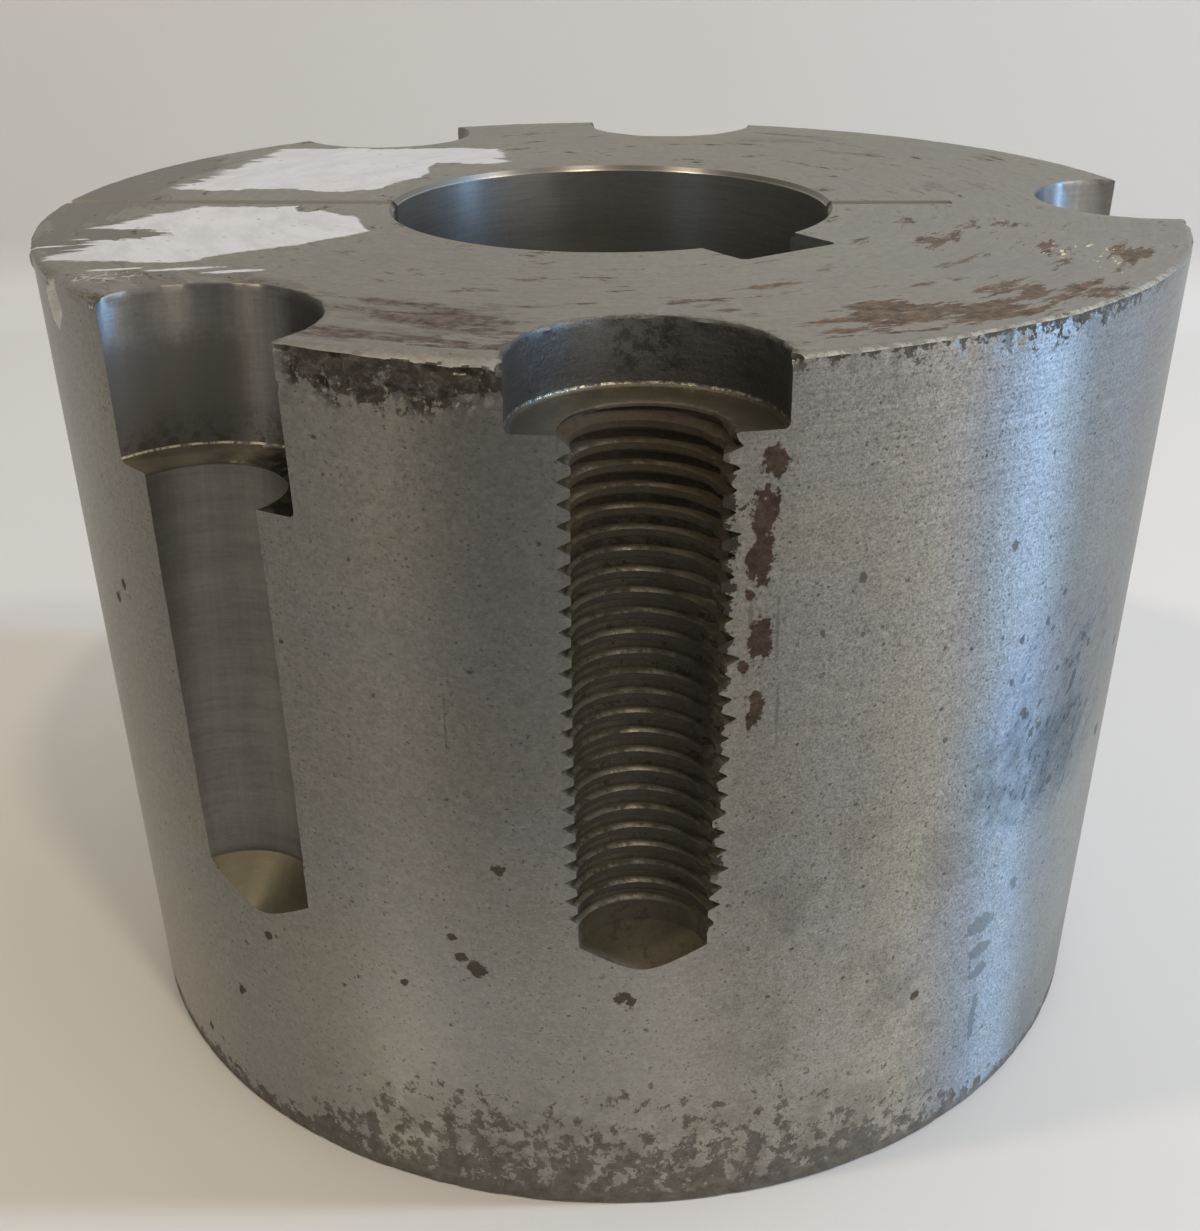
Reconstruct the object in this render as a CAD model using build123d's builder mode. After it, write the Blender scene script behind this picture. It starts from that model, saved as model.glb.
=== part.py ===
from build123d import *
import math
import os

# Taper bush for fixing a pulley or a sprocket to a shaft, cast and turned in one piece.
# The bush stands on its small end. The Z axis is the shaft's axis, with Z = 0 on the
# small end's face. The through split opens towards -X. Lengths are in millimetres,
# angles in degrees, and each angle about the axis is measured from +X towards +Y.

# Tapered body
large_end_diameter = 162.0
bush_length = 114.3
taper_per_side = 4.0
small_end_chamfer = 0.3

# Shaft bore and its keyway
bore_diameter = 63.5
bore_chamfer = 0.6
keyway_width = 15.9
keyway_depth = 8.0
keyway_angle = -52.0
keyway_corner_radius = 1.0

# Two saw cuts let the bush close on the shaft: a split through the whole wall, and a
# slit on the other side that stops inside the wall
split_width = 2.6
slit_width = 2.4
slit_wall_left = 31.0
slit_angle = 2.0

# Half-holes for screws, cut into the rim of the large end
screw_circle_radius = 78.4
screw_diameter = 19.05
seat_corner_radius = 0.7
drill_point_angle = 118.0

# The installing holes are smooth, with a deep seat, and draw the bush into its hub
installing_angles = (-124.5, 4.0, 124.0)
installing_seat_diameter = 30.0
installing_seat_depth = 20.6
installing_clearance = 0.3
installing_depth = 75.1

# The jacking holes are threaded, with a shallow seat, and push the bush out again
jacking_angles = (-85.0, 84.0)
jacking_seat_diameter = 29.6
jacking_seat_depth = 8.1
jacking_depth = 73.5
tap_drill_diameter = 16.2
thread_pitch = 2.54
thread_depth = 72.0
thread_angle = 60.0
thread_root_flat = 0.12

# Sizes that follow from the ones above
large_end_radius = large_end_diameter / 2
bore_radius = bore_diameter / 2
screw_radius = screw_diameter / 2
installing_radius = screw_radius + installing_clearance / 2
tap_drill_radius = tap_drill_diameter / 2
taper_slope = math.tan(math.radians(taper_per_side))
thread_slope = math.tan(math.radians(thread_angle / 2))
thread_turns = math.floor((thread_depth - jacking_seat_depth) / thread_pitch)
first_groove_height = bush_length - jacking_seat_depth - thread_pitch / 3
cut_margin = 2.0


def pointed_hole(seat_radius, seat_depth, hole_radius, hole_depth):
    """Cutter for a seated blind hole, made with its mouth at Z = 0 and its point down."""
    point_height = hole_radius / math.tan(math.radians(drill_point_angle / 2))
    seat_corner = (seat_radius, -seat_depth)
    with BuildPart() as cutter:
        with BuildSketch(Plane.XZ) as section:
            with BuildLine():
                Polyline(
                    (0, cut_margin),
                    (seat_radius, cut_margin),
                    seat_corner,
                    (hole_radius, -seat_depth),
                    (hole_radius, -hole_depth),
                    (0, -hole_depth - point_height),
                    close=True,
                )
            make_face()
            fillet(section.vertices().sort_by_distance(seat_corner)[0], seat_corner_radius)
        revolve(axis=Axis.Z)
    return cutter.part


def thread_groove():
    """Cutter for the stretch of one thread turn that the bush's wall holds.

    The groove is a V that climbs along a right-hand helix about the screw's axis. It
    crosses Z = 0 halfway round, on the side towards -X, where the shaft is.
    """
    wall_arc = 220.0
    start_angle = 180.0 - wall_arc / 2
    arc_height = thread_pitch * wall_arc / 360
    inner_radius = tap_drill_radius - cut_margin / 4
    groove_depth = screw_radius - inner_radius
    root_half = thread_root_flat / 2
    mouth_half = root_half + groove_depth * thread_slope
    outwards = Vector(1, 0, 0).rotate(Axis.Z, start_angle)
    with BuildPart() as cutter:
        with BuildLine(Plane.XY.offset(-arc_height / 2).rotated((0, 0, start_angle))) as path:
            Helix(pitch=thread_pitch, height=arc_height, radius=inner_radius)
        with BuildSketch(Plane(origin=path.line @ 0, x_dir=outwards, z_dir=path.line % 0)):
            with BuildLine():
                Polyline(
                    (0, -mouth_half),
                    (groove_depth, -root_half),
                    (groove_depth, root_half),
                    (0, mouth_half),
                    close=True,
                )
            make_face()
        sweep(path=path.line, is_frenet=True)
    return cutter.part


installing_hole = pointed_hole(
    installing_seat_diameter / 2, installing_seat_depth, installing_radius, installing_depth
)
jacking_hole = pointed_hole(
    jacking_seat_diameter / 2, jacking_seat_depth, tap_drill_radius, jacking_depth
)
groove = thread_groove()

with BuildPart() as bush:
    # The turned body: a plain taper round the bore, with its edges broken
    small_end_radius = large_end_radius - bush_length * taper_slope
    with BuildSketch(Plane.XZ):
        with BuildLine():
            Polyline(
                (bore_radius + bore_chamfer, 0),
                (small_end_radius - small_end_chamfer, 0),
                (small_end_radius + small_end_chamfer * taper_slope, small_end_chamfer),
                (large_end_radius, bush_length),
                (bore_radius + bore_chamfer, bush_length),
                (bore_radius, bush_length - bore_chamfer),
                (bore_radius, bore_chamfer),
                close=True,
            )
        make_face()
    revolve(axis=Axis.Z)

    # Keyway, straight through the length
    key_floor = bore_radius + keyway_depth
    with BuildSketch(Plane.XY.rotated((0, 0, keyway_angle))):
        with Locations((key_floor / 2, 0)):
            keyway = Rectangle(key_floor, keyway_width)
        fillet(keyway.vertices().group_by(Axis.X)[-1], keyway_corner_radius)
    extrude(amount=bush_length, mode=Mode.SUBTRACT)

    # Saw cuts
    slit_reach = large_end_radius - slit_wall_left
    with BuildSketch():
        with Locations((-large_end_radius / 2, 0)):
            Rectangle(large_end_radius + cut_margin, split_width)
    extrude(amount=bush_length, mode=Mode.SUBTRACT)
    with BuildSketch(Plane.XY.rotated((0, 0, slit_angle))):
        with Locations((slit_reach / 2, 0)):
            Rectangle(slit_reach, slit_width)
    extrude(amount=bush_length, mode=Mode.SUBTRACT)

    # Smooth half-holes
    for angle in installing_angles:
        with Locations(Plane.XY.offset(bush_length)):
            with PolarLocations(screw_circle_radius, 1, start_angle=angle):
                add(installing_hole, mode=Mode.SUBTRACT)

    # Threaded half-holes, each with its mouth opened to the screw's size
    mouth_height = screw_radius - tap_drill_radius
    mouth_middle = bush_length - jacking_seat_depth - mouth_height / 2
    for angle in jacking_angles:
        with Locations(Plane.XY.offset(bush_length)):
            with PolarLocations(screw_circle_radius, 1, start_angle=angle):
                add(jacking_hole, mode=Mode.SUBTRACT)
        with Locations(Plane.XY.offset(mouth_middle)):
            with PolarLocations(screw_circle_radius, 1, start_angle=angle):
                Cone(tap_drill_radius, screw_radius, mouth_height, mode=Mode.SUBTRACT)
        for turn in range(thread_turns):
            with Locations(Plane.XY.offset(first_groove_height - turn * thread_pitch)):
                with PolarLocations(screw_circle_radius, 1, start_angle=angle):
                    add(groove, mode=Mode.SUBTRACT)

bush.part.label = "bush"
os.makedirs("parts", exist_ok=True)
export_step(bush.part, "parts/bush.step")
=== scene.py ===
import itertools
import math

import bmesh
import bpy
import numpy as np
from mathutils import Matrix


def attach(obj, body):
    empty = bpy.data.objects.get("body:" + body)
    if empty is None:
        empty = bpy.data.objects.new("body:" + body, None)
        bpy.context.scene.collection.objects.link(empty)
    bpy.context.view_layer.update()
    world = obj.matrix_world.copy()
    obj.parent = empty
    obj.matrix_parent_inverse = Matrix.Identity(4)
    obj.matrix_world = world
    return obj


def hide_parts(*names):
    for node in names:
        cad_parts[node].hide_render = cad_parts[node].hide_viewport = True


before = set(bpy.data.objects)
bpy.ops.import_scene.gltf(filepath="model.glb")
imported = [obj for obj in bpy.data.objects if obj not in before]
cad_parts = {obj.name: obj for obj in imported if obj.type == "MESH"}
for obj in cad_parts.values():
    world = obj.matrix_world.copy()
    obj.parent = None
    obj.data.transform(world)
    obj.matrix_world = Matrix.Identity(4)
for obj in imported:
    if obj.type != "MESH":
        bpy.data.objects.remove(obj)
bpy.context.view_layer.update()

# The visible skin of the taper bush: the CAD form with the wear of years of use. It is
# shaped in millimetres, and turned into metres at the end. Angles about the shaft's axis
# are in degrees, measured from +X towards +Y.
MM = 0.001

# Sizes of the bush, as in its CAD source
LENGTH = 114.3
RIM = 81.0
SLOPE = math.tan(math.radians(4.0))
FOOT = RIM - LENGTH * SLOPE
FOOT_BREAK = 0.3
BORE = 31.75
BORE_BREAK = 0.6
KEY_WIDTH, KEY_FLOOR, KEY_ANGLE, KEY_CORNER = 15.9, 39.75, -52.0, 1.0
SPLIT_WIDTH = 2.6
SLIT_WIDTH, SLIT_REACH, SLIT_ANGLE = 2.4, 50.0, 2.0
SCREW_CIRCLE = 78.4
SEAT_CORNER = 0.7
POINT_SLOPE = 1 / math.tan(math.radians(59.0))
SMOOTH_ANGLES = (-124.5, 4.0, 124.0)
SMOOTH_SEAT, SMOOTH_SEAT_DEPTH, SMOOTH_HOLE, SMOOTH_DEPTH = 15.0, 20.6, 9.675, 75.1
THREAD_ANGLES = (-85.0, 84.0)
THREAD_SEAT, THREAD_SEAT_DEPTH, MAJOR, MINOR, THREAD_DEPTH = 14.8, 8.1, 9.525, 8.1, 73.5
PITCH = 2.54
TURNS = 25
FIRST_GROOVE = LENGTH - THREAD_SEAT_DEPTH - PITCH / 3
ROOT_HALF = 0.06
FLANK = math.tan(math.radians(30.0))
BURNISHED_LIT_RIM = (-78, -28, 1.5)  # where the rim's edge is burnished and painted with a highlight: from, to, softness
DEGREES = 57.2958  # in one radian


# ---- small tools
def smoothstep(low, high, value):
    t = np.clip((np.asarray(value, float) - low) / (high - low), 0, 1)
    return t * t * (3 - 2 * t)


def lattice_noise(points, seed):
    """A smooth random value from -1 to 1 at each point, from a seeded lattice."""
    count, primes = 4096, (73856093, 19349663, 83492791)
    table = np.random.default_rng(seed).uniform(-1, 1, count)
    cell = np.floor(points).astype(np.int64)
    part = points - cell
    part = part * part * (3 - 2 * part)
    total = np.zeros(points.shape[:-1])
    for corner in itertools.product((0, 1), repeat=3):
        key = np.bitwise_xor.reduce((cell + np.array(corner)) * np.array(primes), axis=-1)
        share = np.ones(total.shape)
        for axis in range(3):
            share *= part[..., axis] if corner[axis] else 1 - part[..., axis]
        total += table[key & (count - 1)] * share
    return total


def rough(points, size, seed, octaves=3):
    """Layered noise whose largest features are about this many millimetres across."""
    total, strength = 0, 1
    for octave in range(octaves):
        total += strength * lattice_noise(points / size * 2**octave, seed + octave)
        strength *= 0.5
    return total


def polar(radius, angle):
    """The x and y of a point, from its radius and an angle in degrees."""
    turn = math.radians(angle)
    return radius * math.cos(turn), radius * math.sin(turn)


def xyz(radius, angle, height):
    """Points from a radius, an angle in degrees and a height, any of them an array."""
    turn = np.radians(angle)
    radius, turn, height = np.broadcast_arrays(radius, turn, height)
    return np.stack([radius * np.cos(turn), radius * np.sin(turn), height], axis=-1)


def add_object(name, data):
    made = bpy.data.objects.new(name, data)
    bpy.context.scene.collection.objects.link(made)
    return made


def plain_mesh(name, points, faces, material):
    mesh = bpy.data.meshes.new(name)
    mesh.from_pydata([tuple(p) for p in points], [], faces)
    mesh.materials.append(material)
    return mesh


def solid_object(name, points, faces, material):
    """A closed mesh whose doubled points are joined and whose faces look outwards."""
    mesh = plain_mesh(name, points, faces, material)
    work = bmesh.new()
    work.from_mesh(mesh)
    bmesh.ops.remove_doubles(work, verts=work.verts, dist=1e-5)
    bmesh.ops.recalc_face_normals(work, faces=work.faces)
    work.to_mesh(mesh)
    work.free()
    return add_object(name, mesh)


def spread(rows, around):
    """The columns of a list of rows, and the angles round, each over a grid of both."""
    grids = [np.repeat(column[:, None], len(around), 1) for column in np.array(rows, float).T]
    return *grids, np.broadcast_to(around, grids[0].shape)


def ring_faces(rows, columns, close_rows):
    """Quads of a grid whose columns run round in a ring."""
    faces = []
    for i in range(rows if close_rows else rows - 1):
        a, b = i * columns, (i + 1) % rows * columns
        for j in range(columns):
            k = (j + 1) % columns
            faces.append((a + j, a + k, b + k, b + j))
    return faces


def tube(name, grid, material):
    """A closed solid from rings of points, with its first and last ring capped."""
    rows, columns = grid.shape[:2]
    faces = ring_faces(rows, columns, False)
    faces.append(tuple(range(columns)))
    faces.append(tuple(range((rows - 1) * columns, rows * columns)))
    return solid_object(name, grid.reshape(-1, 3), faces, material)


def subtract(body, cutter):
    """Cuts one solid out of another for good; the cut faces keep the cutter's material."""
    step = body.modifiers.new("cut", "BOOLEAN")
    step.operation = "DIFFERENCE"
    step.solver = "MANIFOLD"
    step.object = cutter
    step.material_mode = "TRANSFER"
    found = bpy.context.evaluated_depsgraph_get()
    cut = bpy.data.meshes.new_from_object(body.evaluated_get(found))
    body.modifiers.clear()
    old, body.data = body.data, cut
    bpy.data.meshes.remove(old)
    used = cutter.data
    bpy.data.objects.remove(cutter)
    bpy.data.meshes.remove(used)


# ---- shader tools
def operator(operation, swapped=False):
    def apply(self, other):
        pair = (other, self) if swapped else (self, other)
        return self.graph.math(operation, *pair)
    return apply


class Wire:
    """A shader socket that adds, subtracts, multiplies and divides like a number."""

    def __init__(self, graph, socket):
        self.graph, self.socket = graph, socket

    __add__ = __radd__ = operator("ADD")
    __sub__, __rsub__ = operator("SUBTRACT"), operator("SUBTRACT", swapped=True)
    __mul__ = __rmul__ = operator("MULTIPLY")
    __truediv__ = operator("DIVIDE")


class Graph:
    """Builds one material's shader nodes. Lengths in it are in millimetres."""

    def __init__(self, name):
        self.material = bpy.data.materials.new(name)
        self.material.use_nodes = True
        self.tree = self.material.node_tree
        where = self.tree.nodes.new("ShaderNodeTexCoord").outputs
        to_mm = {0: where["Object"], "Scale": 1 / MM}
        self.place = self.node("VectorMath", to_mm, operation="SCALE")
        self.x, self.y, self.z = self.parts(self.place)
        self.up = self.parts(where["Normal"])[2]

    def link(self, value, socket):
        if isinstance(value, Wire):
            value = value.socket
        if isinstance(value, bpy.types.NodeSocket):
            self.tree.links.new(value, socket)
        elif isinstance(value, tuple) and socket.type == "RGBA":
            socket.default_value = (*value, 1)
        else:
            socket.default_value = value

    def node(self, kind, values, output=0, **settings):
        """A new node with these settings and socket values, as the Wire of one output."""
        made = self.tree.nodes.new("ShaderNode" + kind)
        for name, setting in settings.items():
            setattr(made, name, setting)
        for name, value in values.items():
            self.link(value, made.inputs[name])
        return Wire(self, made.outputs[output])

    def parts(self, vector):
        node = self.tree.nodes.new("ShaderNodeSeparateXYZ")
        self.link(vector, node.inputs[0])
        return [Wire(self, socket) for socket in node.outputs]

    def math(self, operation, *values):
        return self.node("Math", dict(enumerate(values)), operation=operation)

    def join(self, x, y, z):
        return self.node("CombineXYZ", {"X": x, "Y": y, "Z": z})

    def squared(self, *parts):
        """The square of the length of the step that has these parts."""
        first, *others = [part * part for part in parts]
        for other in others:
            first += other
        return first

    def length(self, *parts):
        return self.math("SQRT", self.squared(*parts))

    def radius(self):
        return self.length(self.x, self.y)

    def angle(self):
        """The angle about the shaft's axis, in degrees."""
        return self.math("ARCTAN2", self.y, self.x) * DEGREES

    def largest(self, first, *others):
        for other in others:
            first = self.math("MAXIMUM", first, other)
        return first

    def step(self, low, high, value):
        """0 below low and 1 above high, or the reverse if low is the larger, with a soft
        change between them."""
        flip = low > high
        values = {
            "Value": value, "From Min": min(low, high), "From Max": max(low, high),
            "To Min": float(flip), "To Max": float(not flip),
        }
        return self.node("MapRange", values, interpolation_type="SMOOTHSTEP")

    def within(self, *borders):
        """1 on the inner side of every border, each a softness and a distance inwards."""
        first, *others = [self.step(0, soft, inwards) for soft, inwards in borders]
        for other in others:
            first *= other
        return first

    def noise(self, size, detail, roughness, place=None, seed=0, output="Fac"):
        """Noise from 0 to 1 whose features are about this many millimetres across."""
        place = place or self.place
        if seed:
            apart = (seed * 31, seed * 17, seed * 7)
            place = self.node("VectorMath", {0: place, 1: apart})
        values = {"Vector": place, "Scale": 1 / size, "Detail": detail, "Roughness": roughness}
        return self.node("TexNoise", values, output)

    def warp(self, size, amount, place, seed):
        """The place, pushed about by noise, so that round shapes turn ragged."""
        push = self.noise(size, 2, 0.6, place, seed, "Color")
        values = {0: push, 1: (amount,) * 3, 2: place}
        return self.node("VectorMath", values, operation="MULTIPLY_ADD")

    def specks(self, size, near, far, place):
        """1 inside small scattered specks, one to a cell of this size at the most."""
        values = {"Vector": place, "Scale": 1 / size}
        return self.step(far, near, self.node("TexVoronoi", values, "Distance"))

    def cracks(self, size, width, place):
        """1 along the borders of a crazed, flaking skin."""
        values = {"Vector": place, "Scale": 1 / size}
        away = self.node("TexVoronoi", values, "Distance", feature="DISTANCE_TO_EDGE")
        return self.step(width, width * 0.3, away)

    def mix(self, share, first, second):
        values = {"Factor": share, "A": first, "B": second}
        return self.node("Mix", values, "Result", data_type="RGBA")

    def paint(self, share, tone):
        """Covers this share of the colour with a tone."""
        self.colour = self.mix(share, self.colour, tone)

    def shade(self, colour, value):
        """A colour made lighter or darker by a value near 1."""
        return self.node("VectorMath", {0: colour, "Scale": value}, operation="SCALE")

    def spot(self, at, reach, wobble):
        """1 inside a ragged spot: at is its middle and reach its half-sizes."""
        return self.spots([(at, reach)], wobble)

    def spots(self, places, wobble):
        """1 inside any of these ragged spots, each a middle and its half-sizes."""
        nearest = None
        for at, reach in places:
            gaps = zip((self.x, self.y, self.z), at, reach)
            away = self.squared(*((axis - middle) * (1 / half) for axis, middle, half in gaps))
            nearest = away if nearest is None else self.math("MINIMUM", nearest, away)
        return self.step(1.12, 0.88, self.math("SQRT", nearest) + wobble)

    def box(self, value, low, high, soft):
        """1 while a value lies between low and high."""
        rise = self.step(low - soft, low + soft, value)
        return rise * self.step(high + soft, high - soft, value)

    def finish(self, metallic, roughness, height, turned, around=None, gloss=0.5):
        """Links the surface: height is its relief, in millimetres, turned the pull of its
        tool marks, which run around the axis, and gloss the shine of what covers it."""
        if around is None:
            around = self.node("Tangent", {}, direction_type="RADIAL", axis="Z")
        relief = {"Distance": MM, "Height": height}
        shader = self.tree.nodes["Principled BSDF"]
        for name, value in {
            "Base Color": self.colour, "Metallic": metallic, "Roughness": roughness,
            "Specular IOR Level": gloss, "Normal": self.node("Bump", relief),
            "Tangent": around, "Anisotropic": turned, "Anisotropic Rotation": 0.25,
        }.items():
            self.link(value, shader.inputs[name])
        return self.material


def from_hole(g, angle):
    """The distance from a hole's axis."""
    x, y = polar(SCREW_CIRCLE, angle)
    return g.length(g.x - x, g.y - y)


def round_holes(g, angles):
    """The direction round the nearest of these holes, and the distance from its axis."""
    middle_x, middle_y, reach = 0, 0, None
    for angle in angles:
        x, y = polar(SCREW_CIRCLE, angle)
        away = from_hole(g, angle)
        near = g.step(22, 21, away)  # past any seat's wall, short of the next hole
        middle_x = near * x + middle_x
        middle_y = near * y + middle_y
        reach = away if reach is None else g.math("MINIMUM", reach, away)
    return g.join(middle_y - g.y, g.x - middle_x, 0), reach


def taper_spots(g, wobble, shape, places):
    """1 inside ragged spots on the taper. Each has an angle, a height and its half-size, or
    two of them, across and up, which shape stretches across, inwards and up."""
    wide, deep, tall = shape
    middles = []
    for angle, height, *half in places:
        at = (*polar(FOOT + height * SLOPE, angle), height)
        middles.append((at, (half[0] * wide, half[0] * deep, half[-1] * tall)))
    return g.spots(middles, wobble)


def wobble_of(edge):
    """Noise turned into a push of about one either way, for a spot's border."""
    return (edge - 0.5) * 2.4


# ---- materials
def taper_material():
    """Turned side of the bush: fine feed lines, open grain, pits, oxide and rust spots."""
    g = Graph("taper_iron")
    angle = g.angle()
    down = LENGTH - g.z
    lit = g.step(-88, -70, angle)  # the right side, which mirrors the window
    lines = g.noise(0.34, 2, 0.6, g.join(g.x * 0.03, g.y * 0.03, g.z))
    grain = g.noise(0.55, 3, 0.85, g.join(g.x * 0.85, g.y * 0.85, g.z))
    cloud = g.noise(22, 3, 0.55, seed=1.7)
    edge = g.noise(1.5, 4, 0.72, seed=8.4)
    patchy = g.step(0.3, 0.7, edge)
    torn = g.noise(2.2, 6, 0.72, g.join(g.x * 1.05, g.y * 1.05, g.z * 0.95), seed=12.7)

    tone = g.mix(g.step(0.35, 0.68, cloud), (0.264, 0.252, 0.22), (0.256, 0.251, 0.236))
    # Painted highlight: on the window-lit right side the feed lines and fine grain are painted
    # with more contrast, standing in for the glints that light raises there.
    lined = lit * (0.15 + g.step(78, 104, g.z) * 0.85)
    fine = g.noise(0.31, 1, 0.8)
    turned_lines = (lines - 0.5) * (0.2 + lined * 0.42) + (fine - 0.5) * (0.2 + lit * 1.25)
    value = 0.15 + grain * 0.95 + turned_lines + edge * 0.45 + torn * 0.3
    # Painted reflection: the left side of the taper is lightened, standing in for the room's
    # reflection there.
    value += g.step(-128, -143, angle) * 0.26
    # Painted reflection: the lower taper, a patch at the front and the right limb are lightened,
    # standing in for the floor's reflection.
    low_painted_glow = g.step(64, 4, g.z) * g.step(-48, -66, angle) * 0.42
    low_painted_glow *= 1 + g.box(angle, -112, -84, 6) * 0.6
    low_painted_glow += g.box(angle, -102, -84, 5) * g.box(g.z, 28, 58, 8) * 0.12
    low_painted_glow += g.step(-44, -36, angle) * g.box(g.z, 12, 50, 8) * 0.24
    g.colour = g.shade(tone, value + low_painted_glow)

    # Open pits: many small ones, a few larger ones, thicker in some clouds
    ragged = g.warp(0.8, 0.8, g.join(g.x, g.y, g.z * 1.1), seed=2.4)
    small = g.specks(0.95, 0.1, 0.3, ragged) * g.step(0.36, 0.56, torn)
    middle = g.specks(3.6, 0.04, 0.15, ragged) * g.step(0.45, 0.58, edge)
    # Pits on the window-lit right side are painted with more contrast too, as painted light.
    small = small * g.step(0.36, 0.58, edge) * (0.75 + lit * 0.25)
    pits = g.largest(small, middle)
    g.paint(pits * 0.8, (0.04, 0.035, 0.029))

    # Smears, wiped grease and small dents on the right, left by handling
    rise = g.z * 0.87 + angle * 0.69
    aslant = g.z * 0.5 - angle * 1.2
    on_right = g.box(angle, -51, -31, 5) * g.box(g.z, 46, 74, 7)
    smears = g.step(0.42, 0.7, g.noise(4.5, 4, 0.65, g.join(rise * 0.4, aslant, 0), seed=6.1))
    smears *= on_right
    g.paint(smears * 0.5, (0.09, 0.095, 0.106))
    marks = g.noise(1.3, 4, 0.6, g.join(rise * 0.55, aslant, 0), seed=4.3)
    marks = g.step(0.585, 0.615, marks)
    marks = marks * g.box(angle, -49, -31, 4) * g.box(g.z, 44, 72, 6)
    g.paint(marks * 0.7, (0.06, 0.062, 0.066))
    dulled = g.box(angle, -55, -36, 4) * g.box(g.z + (cloud - 0.5) * 14, 45, 61, 4)
    dulled *= 0.45 + g.step(0.38, 0.6, g.noise(3.5, 3, 0.65, seed=19.3)) * 0.55
    g.colour = g.shade(g.colour, 1 - on_right * 0.06 - dulled * 0.26)
    mottle = g.step(0.46, 0.66, g.noise(8, 3, 0.62, seed=15.2))
    mottle = mottle * g.box(angle, -78, -50, 6) * g.step(66, 42, g.z)
    g.colour = g.shade(g.colour, 1 - mottle * 0.22)
    wobble = wobble_of(edge)
    dents = taper_spots(g, wobble * 1.3, (0.7, 0.7, 0.85), (
        (-45.2, 74.3, 0.6), (-44.1, 72.8, 0.6), (-43, 77.2, 0.5), (-37.4, 68.4, 0.8),
        (-35.8, 66.6, 0.7), (-38, 62.9, 0.9), (-40.2, 66.2, 0.6), (-42, 66.3, 0.6),
        (-49.4, 67.7, 0.7), (-46.7, 62.1, 1.1), (-45, 58.5, 0.8), (-43.8, 58.9, 0.8),
        (-25.2, 61, 1), (-26.1, 47.2, 1.4), (-39.8, 48.4, 1), (-51.8, 86.8, 0.8),
        (-51.6, 74.8, 0.5), (-48.8, 73.3, 0.7), (-67.4, 87.5, 0.6), (-70.6, 81.3, 0.4),
        (-67, 80.4, 0.4), (-57.1, 63.2, 0.5),
    ))
    g.paint(dents * 0.72, (0.07, 0.07, 0.068))
    wiped = taper_spots(g, wobble, (1, 1, 1), (
        (-48.7, 31.4, 2.7, 1.5), (-47.8, 27, 2.2, 1), (-47.6, 23.4, 1.8, 1.1),
        (-47.4, 15.5, 0.7, 4.2), (-43.6, 34.9, 0.8, 1.1),
    ))
    g.paint(wiped * (0.3 + cloud * 0.6), (0.105, 0.101, 0.088))
    scratches = taper_spots(g, wobble * 0.9, (1, 3, 1), (
        (-74.5, 82.5, 0.22, 5), (-74.1, 72, 0.18, 4.5), (-70.5, 76, 0.7, 0.25),
        (-76.8, 84.5, 0.25, 2.6), (-101.6, 70, 0.15, 6),
    ))
    g.paint(scratches * 0.4, (0.095, 0.092, 0.085))

    # Oxide along the foot: flakes with pale edges, solid only at the very bottom
    front = g.box(angle, -116, -56, 10)
    share = g.z / (3 + front * 13)
    flake = torn - 0.4 - share * 0.17 + (cloud - 0.5) * 0.35
    oxide = g.step(-0.02, 0.035, flake) * g.step(1.6, 1.1, share)
    solid = g.step(0, 1.6, 2.6 + front + (torn - 0.5) * 7 - g.z)
    oxide = g.largest(oxide, solid)
    halo = g.step(-0.1, -0.01, flake) * (1 - oxide) * front * g.step(1.7, 1.1, share)
    g.paint(halo * 0.6, (0.42, 0.4, 0.35))
    haze = g.step(0.4, 0.6, g.noise(5, 3, 0.65, seed=18.4)) * front * g.step(24, 6, g.z)
    g.paint(haze * 0.42, (0.12, 0.104, 0.086))
    g.paint(oxide * 0.88, g.mix(patchy, (0.092, 0.08, 0.065), (0.172, 0.152, 0.127)))

    # Scale under the rim between the two front half-holes, and nibbled spots to the right
    between = g.box(angle, -113, -94, 0.8)
    deep = 4 + g.box(angle, -110, -99, 3) * 2
    scale = g.step(-0.01, 0.03, torn - 0.33 - (down / deep) * 0.17) * between
    scale *= g.step(1.35, 1, down / deep)
    right_rim = g.box(angle, -77, -32, 5)
    nibble = g.step(0, 0.04, edge - 0.42 - down * 0.08) * right_rim
    flaked = g.step(0, 0.03, torn - 0.46 - down * 0.035) * g.box(angle, -56, -40, 2)
    nibble = g.largest(nibble, flaked) * g.step(4.6, 3, down)
    scale = g.largest(scale, nibble)
    seams = g.cracks(1.35, 0.16, g.join(g.x + edge * 1.2, g.y, g.z * 1.5 + edge * 1.2))
    seams *= g.step(0.48, 0.6, edge)
    scale_tone = g.mix(patchy, (0.03, 0.026, 0.02), (0.086, 0.073, 0.057))
    scale_tone = g.mix(seams * 0.6, scale_tone, (0.15, 0.135, 0.115))
    g.paint(scale * 0.92, scale_tone)

    # Burnished line where the rim's edge still stands, painted bright as a highlight on the
    # window's side
    burnish_highlight = g.step(0.5, 0.2, down) * g.box(angle, *BURNISHED_LIT_RIM) * (1 - nibble)
    g.paint(burnish_highlight * 0.5, (0.5, 0.5, 0.48))

    # Bare facet where a knock has flattened the rim on the left
    bare = taper_spots(g, wobble * 0.45, (1, 2.8 / 2.1, 1), ((-146.1, 110.6, 2.1, 3.2),))
    g.paint(bare * 0.9, g.shade((0.85, 0.83, 0.75), 0.55 + grain * 0.8))

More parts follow.
